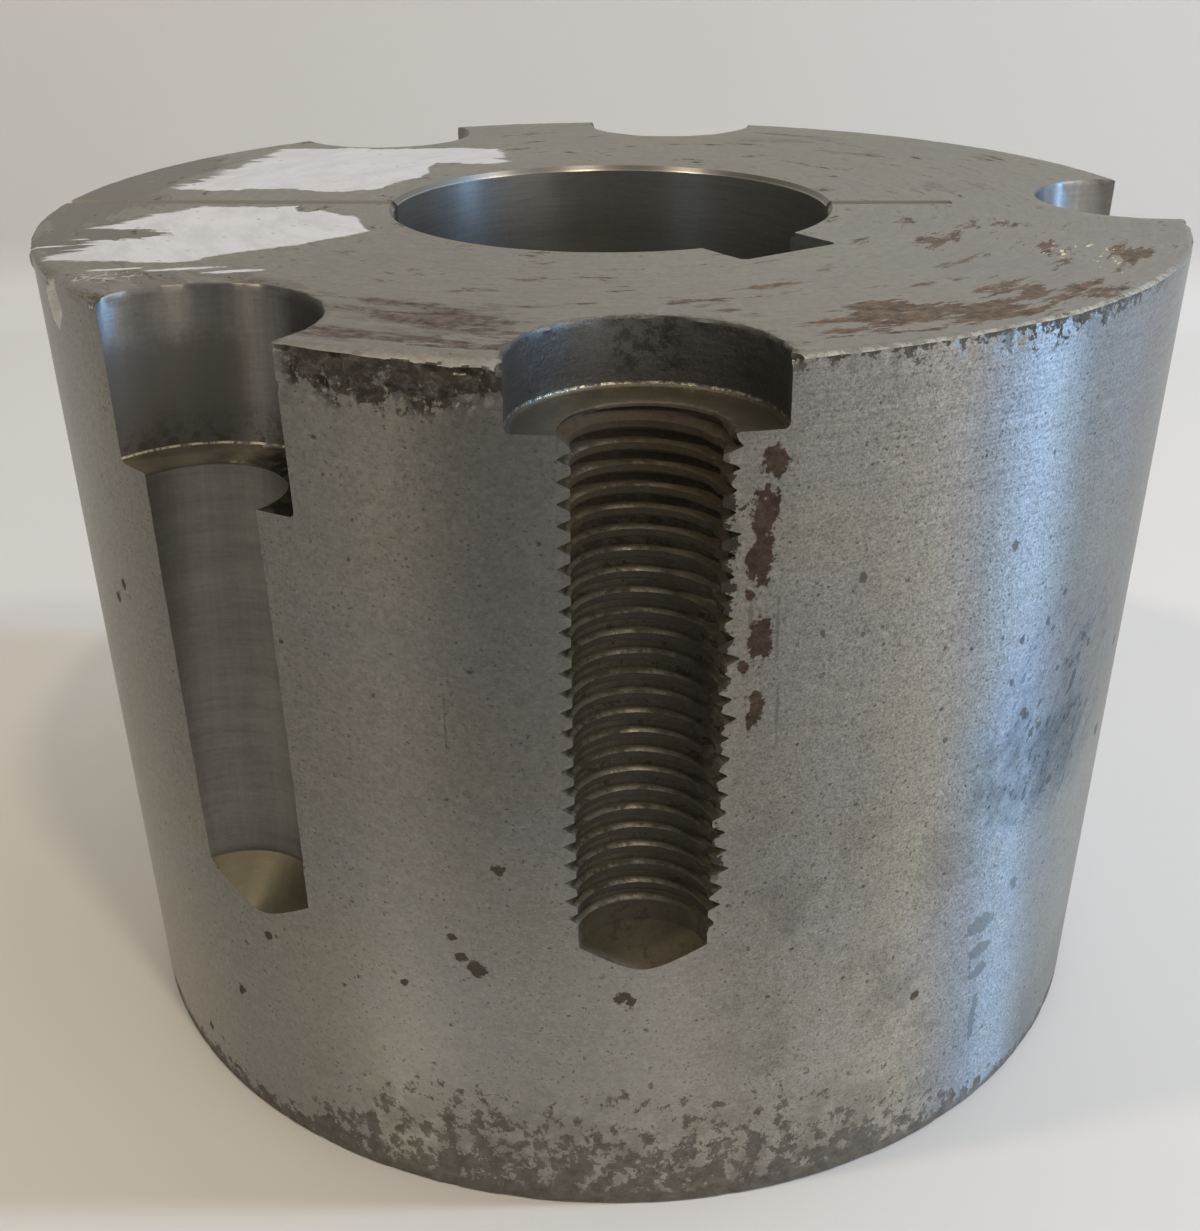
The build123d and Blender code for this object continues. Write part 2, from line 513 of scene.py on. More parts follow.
    # Rust beside the front thread, and single spots lower down
    rust = taper_spots(g, wobble * 1.3, (1, 1, 1), (
        (-75.3, 103, 1.45, 2.1), (-75.9, 99.5, 0.4, 0.9), (-76.1, 96.3, 1.55, 2.9),
        (-76.2, 91.6, 1.45, 3.2), (-75.9, 81.4, 1.3, 2.6), (-76, 73.4, 0.9, 2.5),
        (-77.2, 78.3, 0.6, 0.9), (-76.5, 70.9, 0.35, 1.1), (-76.9, 87, 0.5, 0.8),
    ))
    rust_tone = g.mix(patchy, (0.034, 0.022, 0.015), (0.092, 0.058, 0.04))
    g.paint(rust * 0.94, g.shade(rust_tone, 0.35 + grain * 1.3))
    dots = taper_spots(g, wobble * 1.2, (1, 1, 1), (
        (-97.7, 51.1, 0.85), (-102.4, 40.6, 0.55), (-101.6, 37.8, 0.8), (-100.1, 36.4, 1.05),
        (-107.5, 32.2, 0.5), (-123.7, 31.7, 0.6), (-129.6, 19, 0.7), (-138.5, 6, 0.6),
        (-86.9, 33.3, 0.9), (-86.2, 32.6, 0.7), (-56.8, 24.9, 0.7), (-140.4, 74.8, 0.7),
        (-142.7, 71.8, 0.8), (150, 62, 1.1), (112, 40, 0.9), (35, 83, 1),
        (62, 30, 0.8),
    ))
    g.paint(dots * 0.88, g.mix(edge, (0.03, 0.022, 0.015), (0.085, 0.065, 0.042)))

    # Dark, ragged band painted on the taper beside the front thread's right side, whose edge is
    # eaten
    aside = g.x - polar(SCREW_CIRCLE, THREAD_ANGLES[0])[0]
    dark_fringe = g.step(0, 0.03, torn - 0.4 - (aside - 8.4) * 0.11 - g.step(84, 70, g.z) * 0.14)
    dark_fringe = dark_fringe * g.box(g.z, 50, 104, 3) * g.step(-40, -60, g.y) * g.step(2, 5, aside)
    g.paint(dark_fringe * 0.92, g.mix(edge, (0.008, 0.007, 0.005), (0.055, 0.046, 0.034)))

    worn = g.largest(oxide, scale, rust, dots, dark_fringe, dents * 0.7, wiped * 0.5)
    metallic = 1 - worn * 0.75
    roughness = 0.24 + fine * 0.28 + worn * 0.24 + smears * 0.12 + dulled * 0.24
    height = (grain - 0.5) * 0.045 + (lines - 0.5) * (0.008 + lined * 0.014)
    return g.finish(metallic, roughness, height, turned=1, gloss=0.5 - worn * 0.4)


def along_stroke(x, y):
    """The parts of a step on the face that run along the strokes of handling and across."""
    cosine, sine = 0.966, 0.259
    return x * cosine + y * sine, y * cosine - x * sine


def face_material():
    """Flat ends: faint rings from facing, rust smears, and chalk beside the split."""
    g = Graph("face_iron")
    radius, angle = g.radius(), g.angle()
    top = g.step(60, 61, g.z)  # the large end, not the small one
    round_axis = g.join(radius, angle * 0.34, g.z)
    lines = g.noise(0.5, 2, 0.6, g.join(radius, angle * 0.03, g.z))
    grain = g.noise(0.6, 3, 0.8)
    cloud = g.noise(20, 3, 0.55, seed=1.3)
    edge = g.noise(1.6, 4, 0.72, seed=7.7)
    wobble = wobble_of(edge)
    smear = g.noise(4.2, 7, 0.7, round_axis, seed=11.3)
    tone = g.mix(g.step(0.35, 0.68, cloud), (0.284, 0.27, 0.23), (0.272, 0.262, 0.234))
    value = 0.02 + grain * 0.86 + lines * 0.3 + edge * 0.4 + smear * 0.4
    g.colour = g.shade(tone, value)
    ragged = g.warp(0.9, 0.8, g.join(radius, angle * 0.75, g.z), seed=2.9)
    pits = g.specks(2.6, 0.08, 0.17, ragged) * g.step(0.44, 0.58, smear)
    g.paint(pits * 0.75, (0.06, 0.05, 0.04))

    # Brown rust, worn through along the strokes of handling, and olive stains round it
    rusty, stained = [], []
    for x, y, wide, deep, strength, stain in (
        (-20, -65, 17, 11, 0.12, 0.16), (-10, -74, 16, 6, 0.13, 0.1),
        (-38, -52, 10, 7, 0.02, 0.12), (40, -60, 16, 8, 0.17, 0.06),
        (55, -51, 12, 8, 0.19, 0.06), (67, -34, 7, 11, 0.09, 0.06), (30, -67, 12, 6, 0.12, 0.04),
        (14, -54, 20, 9, 0.05, 0.04), (50, -24, 16, 14, 0.08, 0.04),
        (-66, -26, 12, 15, 0, 0.26), (-75, 2, 7, 24, 0, 0.27), (36, 46, 14, 10, 0, 0.04),
        (52, 14, 9, 5, 0, 0.08), (-52, -48, 14, 6, 0.02, 0.12), (28, 58, 10, 8, 0, 0.08),
        (-72, 30, 7, 16, 0, 0.22),
    ):
        away = g.length((g.x - x) * (1 / wide), (g.y - y) * (1 / deep))
        zone = g.step(1.35, 0.25, away)
        rusty.append(zone * strength)
        stained.append(zone * stain)
    stain = g.step(0.56, 0.62, smear + g.largest(*stained)) * top
    g.paint(stain * 0.55, (0.135, 0.122, 0.095))
    rust = g.step(0.612, 0.65, smear + g.largest(*rusty) + (grain - 0.5) * 0.1) * top
    rust_tone = g.mix(g.step(16, -2, g.x), (0.15, 0.098, 0.062), (0.128, 0.102, 0.076))
    rust_tone = g.mix(g.step(0.3, 0.66, edge), (0.03, 0.021, 0.014), rust_tone)
    g.paint(rust * 0.9, g.shade(rust_tone, 0.25 + grain * 1.5))

    # Chalk rubbed on either side of the split, feathered along the strokes
    stroke, across = along_stroke(g.x, g.y)
    feather = (g.noise(2.6, 5, 0.66, g.join(stroke * 0.13, across, g.z), seed=13.9) - 0.5) * 34
    fray = (edge - 0.5) * 3.6 + (g.noise(7, 2, 0.5, seed=31) - 0.5) * 7
    south = g.within(
        (1.6, -2.6 - g.y + fray * 0.8),
        (1.8, g.y * 0.75 - g.x * 0.66 - 4.4 + fray * 0.5 + feather * 0.05),
        (1.6, -31.4 - g.x * 0.68 - g.y * 0.73 + fray),
        (1.8, radius - 36.4 + fray * 0.4),
        (1.6, g.y + 39.6 + fray * 0.5),
        (4, g.x * 0.876 - g.y * 0.483 + 54.3 + feather * 0.45),
        (3.5, stroke + 77 + feather * 0.6),
    )
    notch = g.spot((-43.5, -4, LENGTH), (2.2, 3.4, 9), wobble * 0.6)
    bare = g.spot((-68, -22.6, LENGTH), (7.5, 3, 9), feather * 0.07 + wobble * 0.5)
    south = south * (1 - notch) * (1 - bare * 0.9)
    torn = (g.noise(2.2, 5, 0.66, g.join(g.x * 0.16, g.y, g.z), seed=17.2) - 0.5) * 16
    north = g.within(
        (1.6, g.y - 9 + fray),
        (3.5, g.x * 0.974 - g.y * 0.228 + 70 + torn * 0.8),
        (1.4, radius - 36.5 + fray),
        (2.2, 49.6 - g.y + fray),
    )
    reach = g.largest(g.step(0, 2, -30 - g.x + fray), g.step(0, 2, g.y - 33.5 + fray))
    north = north * reach * g.step(0, 3, -14.5 - g.x - g.y * 0.1 + torn * 0.5)
    chalk = g.largest(south, north)
    for x, y, half, thin in ((-51, -42.4, 5.5, 0.7), (-44.6, -43.6, 4.4, 0.8),
                             (-60, -43, 4, 0.6), (-72.5, -30.5, 3, 0.5)):
        along, aside = along_stroke(g.x - x, g.y - y)
        away = g.length(along * (1 / half), aside * (1 / thin))
        streak = g.step(1.1, 0.7, away + wobble * 0.7)
        chalk = g.largest(chalk, streak * 0.75)
    chalk = g.step(0.22, 0.8, chalk + (grain - 0.5) * 0.45) * top
    dust = g.step(0.36, 0.6, smear)
    chalk = chalk * (0.88 + dust * 0.12) * (1 - pits * 0.5)
    g.paint(chalk, g.mix(smear, (0.5, 0.487, 0.482), (0.62, 0.605, 0.6)))

    # Dark, torn lips round the front holes
    left = g.step(SMOOTH_SEAT + 1, SMOOTH_SEAT + 0.1, from_hole(g, SMOOTH_ANGLES[0]))
    right = g.step(THREAD_SEAT + 1.3, THREAD_SEAT + 0.1, from_hole(g, THREAD_ANGLES[0]))
    torn_lip = g.largest(left * 0.6, right) * g.step(0.46, 0.56, edge) * top
    g.paint(torn_lip * 0.75, (0.06, 0.053, 0.042))

    # Fine bright scribbles in front of the chalk, a burnished line on the rim painted bright as
    # a highlight, and gold flecks painted as glints
    scribble = g.math("ABSOLUTE", g.noise(1.6, 1, 0.5, seed=21) - 0.5)
    scribble = g.step(0.05, 0.02, scribble)
    scribble *= g.spot((-59.5, -47, LENGTH), (4.2, 2.6, 9), wobble)
    # Painted glints: small gold flecks, standing in for the lamps' sparkle on the top face.
    glint_flecks = g.step(0.63, 0.66, g.noise(0.9, 2, 0.6, round_axis, seed=5.1))
    glint_flecks *= g.spot((62, -32.5, LENGTH), (5, 7.5, 9), wobble)
    shine = scribble * 0.8
    rim = g.step(RIM - 0.9, RIM - 0.4, radius) * g.box(angle, *BURNISHED_LIT_RIM) * top
    shine = g.largest(shine, rim * g.step(0.4, 0.6, edge) * 0.8) * (1 - rust * 0.5)
    g.paint(shine, (0.62, 0.6, 0.55))
    g.paint(glint_flecks, (1, 0.88, 0.56))
    shine = g.largest(shine, glint_flecks)

    covered = g.largest(rust, chalk) * (1 - shine)
    metallic = 0.95 - covered * 0.9
    roughness = 0.36 + grain * 0.14 + covered * 0.32 - shine * 0.24
    height = (grain - 0.5) * 0.022 + (lines - 0.5) * 0.008
    return g.finish(metallic, roughness, height, turned=0.3, gloss=0.5 - covered * 0.3)


def seat_material():
    """Drilled holes: dark steel with tool marks round the wall and grime in the corners."""
    g = Graph("seat_iron")
    around, _ = round_holes(g, SMOOTH_ANGLES)
    lines = g.noise(0.45, 3, 0.7, g.join(g.x * 0.08, g.y * 0.08, g.z))
    upright = g.noise(1.1, 4, 0.7, g.join(g.x, g.y, g.z * 0.06), seed=3.3)
    rings = g.noise(2.6, 4, 0.75, g.join(g.x * 0.12, g.y * 0.12, g.z), seed=4.4)
    grain = g.noise(0.5, 3, 0.75)
    edge = g.noise(1.8, 5, 0.7, seed=8.8)
    floor = LENGTH - SMOOTH_SEAT_DEPTH
    in_seat = g.step(floor - 0.6, floor - 0.4, g.z)
    tone = g.mix(in_seat, (0.2, 0.19, 0.168), (0.25, 0.24, 0.222))
    value = 0.3 + upright * 0.45 + lines * 0.4 + grain * 0.35
    g.colour = g.shade(tone, value + (rings * 0.7 - 0.25) * (1 - in_seat))
    # Darker, duller left wall below the mouth: a dull surface, with painted shade where the
    # window's reflection is cut off.
    dull_and_shade = g.box(g.angle(), -150, -130.5, 2)
    dull_and_shade = dull_and_shade * g.step(LENGTH - 3, LENGTH - 9, g.z + (edge - 0.5) * 6) * in_seat
    g.paint(dull_and_shade * 0.88, (0.088, 0.083, 0.072))
    low = g.step(floor + 8, floor + 1, g.z + (edge - 0.5) * 12) * in_seat
    grime = g.step(0.46, 0.6, edge) * low * 0.8
    g.paint(grime, (0.04, 0.034, 0.026))
    on_floor = g.step(floor + 0.35, floor + 0.1, g.z) * in_seat
    swarf = g.mix(edge, (0.04, 0.034, 0.02), (0.12, 0.104, 0.066))
    g.paint(on_floor * 0.8, swarf)
    # Painted highlight: a bright gold line along the hollow corner, standing in for the warm
    # lamps' glint.
    fillet_glint = g.box(g.z, floor + 0.35, floor + 0.62, 0.06) * g.step(0.4, 0.56, edge)
    g.paint(fillet_glint, (0.7, 0.63, 0.46))
    depth = LENGTH - SMOOTH_DEPTH
    point = g.step(depth + 1.5, depth - 0.5, g.z)
    g.paint(point * 0.8, g.mix(edge, (0.1, 0.088, 0.055), (0.21, 0.187, 0.122)))
    metallic = 1 - grime * 0.5 - dull_and_shade * 0.85 - (1 - in_seat) * 0.2
    roughness = dull_and_shade * 0.25 + 0.42 - in_seat * 0.1 + lines * 0.12 + edge * 0.08
    roughness += grime * 0.25
    roughness -= fillet_glint * 0.26
    height = (lines - 0.5) * 0.03 + (grain - 0.5) * 0.01
    return g.finish(metallic, roughness, height, 0.35 + in_seat * 0.6, around)


def thread_material():
    """Tapped holes: oily brown roots lightened with painted light, crests with painted glints on
    their up-facing edges and painted shade on their flats, and rust near the mouth.
    """
    g = Graph("thread_iron")
    around, reach = round_holes(g, THREAD_ANGLES)
    lines = g.noise(0.4, 3, 0.7, g.join(g.x * 0.1, g.y * 0.1, g.z))
    grain = g.noise(0.5, 3, 0.75)
    blotch = g.noise(4, 5, 0.66, seed=3.6)
    edge = g.noise(1.3, 4, 0.72, seed=9.8)
    floor = LENGTH - THREAD_SEAT_DEPTH
    seat = g.step(floor - 0.3, floor - 0.05, g.z)
    crest = g.step(MINOR + 0.65, MINOR + 0.15, reach) * (1 - seat)
    crest *= g.step(LENGTH - 72, LENGTH - 70, g.z)
    upper = g.step(0.3, 0.6, g.up)
    # Painted light: the deep flanks and roots are painted lighter, against the shade the crests
    # cast there.
    deep = g.step(MINOR + 0.45, MINOR + 1.2, reach)
    oil_and_fill = g.mix(deep, (0.08, 0.072, 0.052), (0.19, 0.172, 0.128))
    oil_and_fill = g.shade(oil_and_fill, 0.2 + edge + grain * 0.45)
    mouth = g.step(LENGTH - 30, LENGTH - 13, g.z)
    oil_and_fill = g.mix(mouth * 0.75, oil_and_fill, g.mix(edge, (0.02, 0.015, 0.009), (0.1, 0.08, 0.052)))
    deep_end = g.step(LENGTH - 64, LENGTH - 72, g.z)
    oil_and_fill = g.mix(deep_end * 0.5, oil_and_fill, (0.088, 0.075, 0.047))
    # Painted shade: crest flats that face sideways, not up, are painted dark.
    flat = crest * (1 - upper)
    g.colour = g.mix(flat, oil_and_fill, g.mix(grain, (0.028, 0.025, 0.019), (0.068, 0.062, 0.048)))
    # Painted highlight: bright glints on the crests' up-facing edges, fading to the right and
    # near the mouth.
    glint = crest * upper * g.step(0.42, 0.6, blotch * 0.6 + edge * 0.4)
    glint *= g.step(13.5, 4, g.x)
    lip = g.step(floor - 2.6, floor - 1.5, g.z) * (1 - seat)
    glint = glint * (1 - g.step(LENGTH - 26, LENGTH - 10, g.z) * 0.4) * (1 - lip)
    g.paint(glint * 0.85, (0.34, 0.32, 0.27))
    g.paint(lip * 0.85, g.shade((0.034, 0.028, 0.019), 0.4 + edge * 1.2))
    gun = g.mix(blotch, (0.09, 0.088, 0.083), (0.172, 0.167, 0.157))
    gun = g.shade(gun, 0.3 + lines * 0.8 + grain * 0.6)
    g.paint(seat, gun)
    on_floor = seat * g.step(floor + 0.35, floor + 0.1, g.z)
    swarf = g.mix(edge, (0.07, 0.06, 0.038), (0.19, 0.166, 0.112))
    g.paint(on_floor * 0.85, swarf)
    # Painted highlight: a bright gold line along the hollow corner, standing in for the warm
    # lamps' glint.
    fillet_glint = g.box(g.z, floor + 0.35, floor + 0.62, 0.06) * g.step(0.42, 0.58, edge)
    g.paint(fillet_glint, (0.75, 0.68, 0.5))
    patch = seat * g.step(floor + 1, floor + 2.5, g.z) * g.box(g.x, 2.5, 10.5, 1.5)
    patch *= g.step(0.46, 0.58, edge)
    g.paint(patch * 0.7, (0.04, 0.034, 0.028))
    high = g.step(LENGTH - 34, LENGTH - 12, g.z) * 0.13
    rust = g.step(0.53, 0.6, edge * 0.5 + blotch * 0.5 + high)
    rust = rust * (1 - seat * 0.75) * (1 - fillet_glint) * (1 - glint)
    g.paint(rust * 0.8, g.mix(grain, (0.018, 0.014, 0.009), (0.08, 0.062, 0.038)))
    bare = g.largest(seat, glint)
    metallic = 0.2 + bare * 0.5 + seat * 0.2 - rust * 0.2
    roughness = 0.46 + grain * 0.18 + rust * 0.15 - seat * 0.12 - fillet_glint * 0.24 - glint * 0.2
    height = (lines - 0.5) * 0.02 + (grain - 0.5) * 0.09
    return g.finish(metallic, roughness, height, 0.4, around, 0.2 + bare * 0.3)


def bore_material():
    """Bore, keyway and saw cuts: dark steel with rings, and pale dust at the cuts' mouths that
    is also painted light in their shade.
    """
    g = Graph("bore_iron")
    flat = g.join(g.x * 0.05, g.y * 0.05, g.z)
    lines = g.noise(0.4, 3, 0.7, flat)
    bands = g.noise(5, 3, 0.6, flat, seed=2.6)
    grain = g.noise(0.4, 3, 0.7)
    radius = g.radius()
    g.colour = g.shade((0.3, 0.29, 0.262), 0.38 + lines * 0.5 + bands * 0.4 + grain * 0.4)
    beside = g.math("ABSOLUTE", g.y - g.math("MAXIMUM", g.x, 0) * 0.035)
    cut = g.step(BORE + 0.3, BORE + 1.2, radius) * g.step(2.2, 1.9, beside)
    left = g.step(2, -2, g.x)
    # Pale dust at the cuts' mouths, more on the left; it also stands in as painted light lifting
    # the shade in the narrow cuts.
    dust = cut * g.step(LENGTH - 9, LENGTH - 4, g.z) * (0.7 + left * 0.3)
    g.paint(dust * 0.95, (0.43, 0.415, 0.365))
    lip = g.step(LENGTH - BORE_BREAK - 0.1, LENGTH - BORE_BREAK + 0.1, g.z)
    lip *= g.step(BORE + 1, BORE + 0.7, radius)
    g.paint(lip * 0.75, (0.17, 0.16, 0.14))
    metallic = 0.9 - dust * 0.85 + lip * 0.1
    roughness = 0.28 + lines * 0.08 + dust * 0.35 + lip * 0.08
    height = (lines - 0.5) * 0.005 + (grain - 0.5) * 0.003
    return g.finish(metallic, roughness, height, turned=0.6)


taper_iron = taper_material()
face_iron = face_material()
seat_iron = seat_material()
thread_iron = thread_material()
bore_iron = bore_material()

# ---- the turned body
# Wear of the large end's rim: how far its edge has sunk, at angles round the axis
RIM_SINK = (
    (-180, 0.12), (-165, 0.2), (-156, 0.3), (-147, 1), (-143, 0.4), (-139, 0.5),
    (-136, 0.9), (-133, 0.3), (-116, 0.2), (-112, 0.35), (-107, 0.5), (-100, 0.9),
    (-97, 1.3), (-95, 1.7), (-92, 0.6), (-78, 0.3), (-74, 0.7), (-71, 0.55), (-65, 0.35),
    (-60, 0.25), (-40, 0.3), (-20, 0.25), (0, 0.2), (40, 0.2), (90, 0.25), (140, 0.2),
    (180, 0.12),
)


def turned_body():
    """The bush turned in one piece, without its holes and cuts, but with a worn rim."""
    fine_from, fine_to, fine_step, coarse_step = -160, -28, 0.3, 1
    angles = np.concatenate([
        np.arange(fine_from, fine_to, fine_step),
        np.arange(fine_to, fine_from + 360, coarse_step),
    ])
    angles = (angles + 180) % 360 - 180
    side = [0.3, 0.8, 1.5, 2.5, 4, 6, 10, *range(18, 89, 10), 96, 102, 105]
    side += [106.5, 107.6, 108.4, 109.1, 109.7, 110.2, 110.7, 111.1, 111.5, 111.9, 112.2]
    side += [112.5, 112.8, 113.1, 113.35, 113.6, 113.8, 113.95, 114.08, 114.17, 114.24]
    inset = [0.1, 0.25, 0.45, 0.7, 1, 1.4, 1.9, 2.5, 3.2, 4.2, 5.5, 7.5, 10, 14, 19, 25]
    inset += [31, 37, 42, 46, 48]
    rows = [(r, 0) for r in (BORE + BORE_BREAK, 36, 42, 50, 58, 65, 69, 71.5)]
    rows.append((FOOT - FOOT_BREAK, 0))
    rows += [(FOOT + z * SLOPE, z) for z in side]
    rows.append((RIM, LENGTH))
    rows += [(RIM - t, LENGTH) for t in inset]
    rows.append((BORE + BORE_BREAK, LENGTH))
    rows.append((BORE, LENGTH - BORE_BREAK))
    rows += [(BORE, z) for z in (106, 96, *range(84, 0, -14), 6)]
    rows.append((BORE, BORE_BREAK))
    radius, height, angle = spread(rows, angles)
    where = xyz(radius, angle, height)

    # The rim's edge has rolled over and sunk, more in some places than in others
    sink = np.interp(angle, *np.array(RIM_SINK, float).T)
    sink = sink * (1 + 0.25 * rough(where, 5, 11, 2))
    from_rim = np.maximum(RIM - radius, 0)
    on_top = height > LENGTH - 1e-6
    reach = 0.4 + 1.9 * sink
    roll = np.clip(1 - from_rim / reach, 0, 1) ** 1.6
    drop = np.where(on_top, sink * roll, 0)
    on_side = (height > 90) & ~on_top
    below = LENGTH - height
    squeeze = np.clip(1 - below / (6 + sink), 0, 1)
    drop += np.where(on_side, sink * squeeze, 0)
    drop += np.where(on_top & (from_rim < 8), 0.04 * rough(where, 1.6, 23), 0)

    # Pits and scale under the rim, deepest between the two front half-holes
    scale_band = smoothstep(-117, -112, angle) * (1 - smoothstep(-97, -93, angle))
    scale_band = scale_band * (1 - smoothstep(4.5, 6.5, below)) * on_side
    light_band = smoothstep(-78, -72, angle) * (1 - smoothstep(-42, -25, angle))
    light_band = light_band * (1 - smoothstep(1.5, 3.5, below)) * on_side
    pitting = np.clip(rough(where, 1.7, 31, 3) - 0.05, 0, 1)
    inward = pitting * (0.7 * scale_band + 0.14 * light_band)
    inward += 0.02 * rough(where, 2.5, 41, 2) * on_side
    burr = smoothstep(1.1, 0.2, np.abs(angle + 158.3))
    burr *= smoothstep(1.6, 0.4, np.abs(below - 1.6))
    inward -= 0.35 * burr * on_side
    edge = np.clip(1 - from_rim / 0.8, 0, 1) * (on_top | (below < 0.8))
    inward += edge * (0.05 + 0.08 * rough(where, 1.2, 47, 2))

    # Dents along the foot's edge
    foot = (1 - smoothstep(0.3, 2.6, height)) * (radius > FOOT - 1) * (height < 3)
    inward += foot * np.clip(0.12 * rough(where, 2.2, 53, 3), 0, 1)
    grid = xyz(radius - inward, angle, height - np.maximum(drop, 0))
    faces = ring_faces(len(rows), len(angles), True)
    made = solid_object("bush_skin", grid.reshape(-1, 3), faces, taper_iron)
    made.data.materials.append(face_iron)
    made.data.materials.append(bore_iron)
    face_slot, bore_slot = 1, 2
    for face in made.data.polygons:
        flat = abs(face.normal.z) > 0.8 and (face.center.z > 100 or face.center.z < 1)
        if math.hypot(*face.center[:2]) < BORE + 0.5:
            face.material_index = bore_slot
        elif flat:
            face.material_index = face_slot
    return made


# ---- cutters
def hole_frame(grid, angle, circle=SCREW_CIRCLE):
    """Moves a cutter made about its own axis out to the screw circle."""
    cosine, sine = polar(1, angle)
    spin = np.array([[cosine, -sine, 0], [sine, cosine, 0], [0, 0, 1]])
    return grid @ spin.T + np.array([*polar(circle, angle), 0])


def seat_rows(seat, floor, heights):
    """Rows of a screw seat, from its broken edge down past these heights, and round the
    hollow corner between its wall and its floor."""
    rows = [(seat + 0.25, LENGTH + 2), (seat + 0.25, LENGTH), (seat + 0.1, LENGTH - 0.1)]
    rows += [(seat, LENGTH - 0.35), (seat, LENGTH - 0.8), (seat, LENGTH - 1.3)]
    rows += [(seat, z) for z in heights]
    steps, top = 5, floor + SEAT_CORNER
    for k in range(steps + 1):
        turn = math.pi / 2 * k / steps
        inward = SEAT_CORNER * (1 - math.cos(turn))
        rows.append((seat - inward, top - SEAT_CORNER * math.sin(turn)))
    return rows


def point_rows(radius, bottom, shares):
    """Rows of a drill's point, from a hole's full radius down to the last share of it."""
    return [(radius * s, bottom - radius * (1 - s) * POINT_SLOPE) for s in (1, *shares)]


def torn_mouth(radius, turn, height, seed):
    """Raggedness from -1 to 1 round a hole's mouth, gone 1.5 mm below the end face."""
    level = xyz(radius, turn, np.minimum(height, LENGTH))
    return rough(level, 1, seed + 9, 3) * smoothstep(LENGTH - 1.7, LENGTH - 0.5, height)


def smooth_hole(angle, seed):
    """Cutter for an installing hole: a deep seat over a drilled hole with a point."""
    floor = LENGTH - SMOOTH_SEAT_DEPTH
    bottom = LENGTH - SMOOTH_DEPTH
    rows = seat_rows(SMOOTH_SEAT, floor, np.linspace(LENGTH - 2, floor + 2, 8))
    rows += [(12.5, floor), (SMOOTH_HOLE + 0.2, floor), (SMOOTH_HOLE, floor - 0.2)]
    rows += [(SMOOTH_HOLE, z) for z in np.arange(floor - 0.9, bottom + 0.4, -0.7)]
    rows += point_rows(SMOOTH_HOLE, bottom, (0.85, 0.6, 0.3, 0.06))
    radius, height, turn = spread(rows, np.arange(0, 360, 3))
    where = xyz(radius, turn, height)
    # Rings that the drill left in the wall of the hole
    ring = lattice_noise(where * np.array([0.03, 0.03, 1.1]), seed)
    in_hole = (height < floor - 0.5) & (height > bottom + 0.3)
    radius += np.where(in_hole, 0.09 * ring, 0)
    radius += 0.015 * rough(where, 6, seed + 5, 2) * (height < LENGTH - 1)
    radius += 0.13 * torn_mouth(radius, turn, height, seed)
    return tube("hole", hole_frame(xyz(radius, turn, height), angle), seat_iron)


def thread_lift(around):
    """Rise of a right-hand thread round the hole, turned back on the open side."""
    half = 110
    turn = (np.asarray(around) % 360) - 180
    inside = np.abs(turn) <= half
    back = np.where(turn > 0, turn, turn + 360)
    home = half - (back - half) * half / (180 - half)
    return PITCH / 360 * np.where(inside, turn, home)


def threaded_hole(angle, seed, wear):
    """Cutter for a jacking hole: its rows of points follow the thread's helix."""
    floor = LENGTH - THREAD_SEAT_DEPTH
    bottom = LENGTH - THREAD_DEPTH
    offsets = np.array([-1.02, -0.9, -0.76, -0.43, -0.1, 0, 0.1, 0.43, 0.76, 0.9, 1.02, 1.27])
    smooth = seat_rows(THREAD_SEAT, floor, (LENGTH - 2, LENGTH - 4, floor + 2))
    smooth += [(12, floor), (MAJOR + 0.15, floor)]
    rows = [(*row, 0) for row in smooth]
    levels = []
    for turn in range(-1, TURNS + 1):
        middle = FIRST_GROOVE - turn * PITCH
        levels += [middle - u for u in offsets]
    levels = sorted({round(z, 4) for z in levels if bottom + 1.6 < z < floor - 1.6})[::-1]
    levels = [floor - 0.15, floor - 0.45, floor - 0.8, floor - 1.2] + levels
    rows += [(0, z, 1) for z in levels + [bottom + 0.8]]
    rows += [(*row, 0) for row in point_rows(MINOR, bottom, (0.8, 0.5, 0.25, 0.06))]
    near_side = 2.5 if wear > 0.5 else 6
    around = np.concatenate([
        np.arange(0, 62, 6), np.arange(62, 122, near_side),
        np.arange(122, 360, near_side + 1.5),
    ])
    radius, height, wall, turn = spread(rows, around)
    wall = wall > 0.5
    lift = thread_lift(turn)
    shear = smoothstep(0, 2.2, floor - height) * smoothstep(0.6, 2.4, height - bottom)
    height += np.where(wall, lift * shear, 0)
    # Depth of the groove at each point of the wall
    phase = (height - lift - FIRST_GROOVE) / PITCH
    off = np.abs(phase - np.round(phase)) * PITCH
    depth = np.clip(1 - (off - ROOT_HALF) / FLANK / (MAJOR - MINOR), 0, 1)
    depth = np.maximum(depth - 0.06 * (1 - depth) * (depth < 0.2), 0)
    fade = smoothstep(LENGTH - 72.6, LENGTH - 67.5, height)
    mean_radius = 9
    where = xyz(np.full(radius.shape, mean_radius), turn, height)
    groove = MINOR + (MAJOR - MINOR) * depth * fade
    mouth = MINOR + np.clip(height - (floor - (MAJOR - MINOR)), 0, MAJOR - MINOR)
    groove = np.maximum(groove, mouth)
    # Worn crests, and rust that has eaten the edge on one side
    side = np.clip(1 - np.abs(turn - 90) / 90, 0, 1)
    eaten = smoothstep(0.35, 0.9, side) * wear
    groove += 0.05 * rough(where, 2, seed, 2) * (depth < 0.6)
    groove += eaten * np.clip(0.9 * rough(where, 1.5, seed + 7, 3), -0.15, 0.9)
    radius = np.where(wall, groove, radius)
    radius += 0.28 * torn_mouth(radius, turn, height, seed)
    return tube("hole", hole_frame(xyz(radius, turn, height), angle), thread_iron)


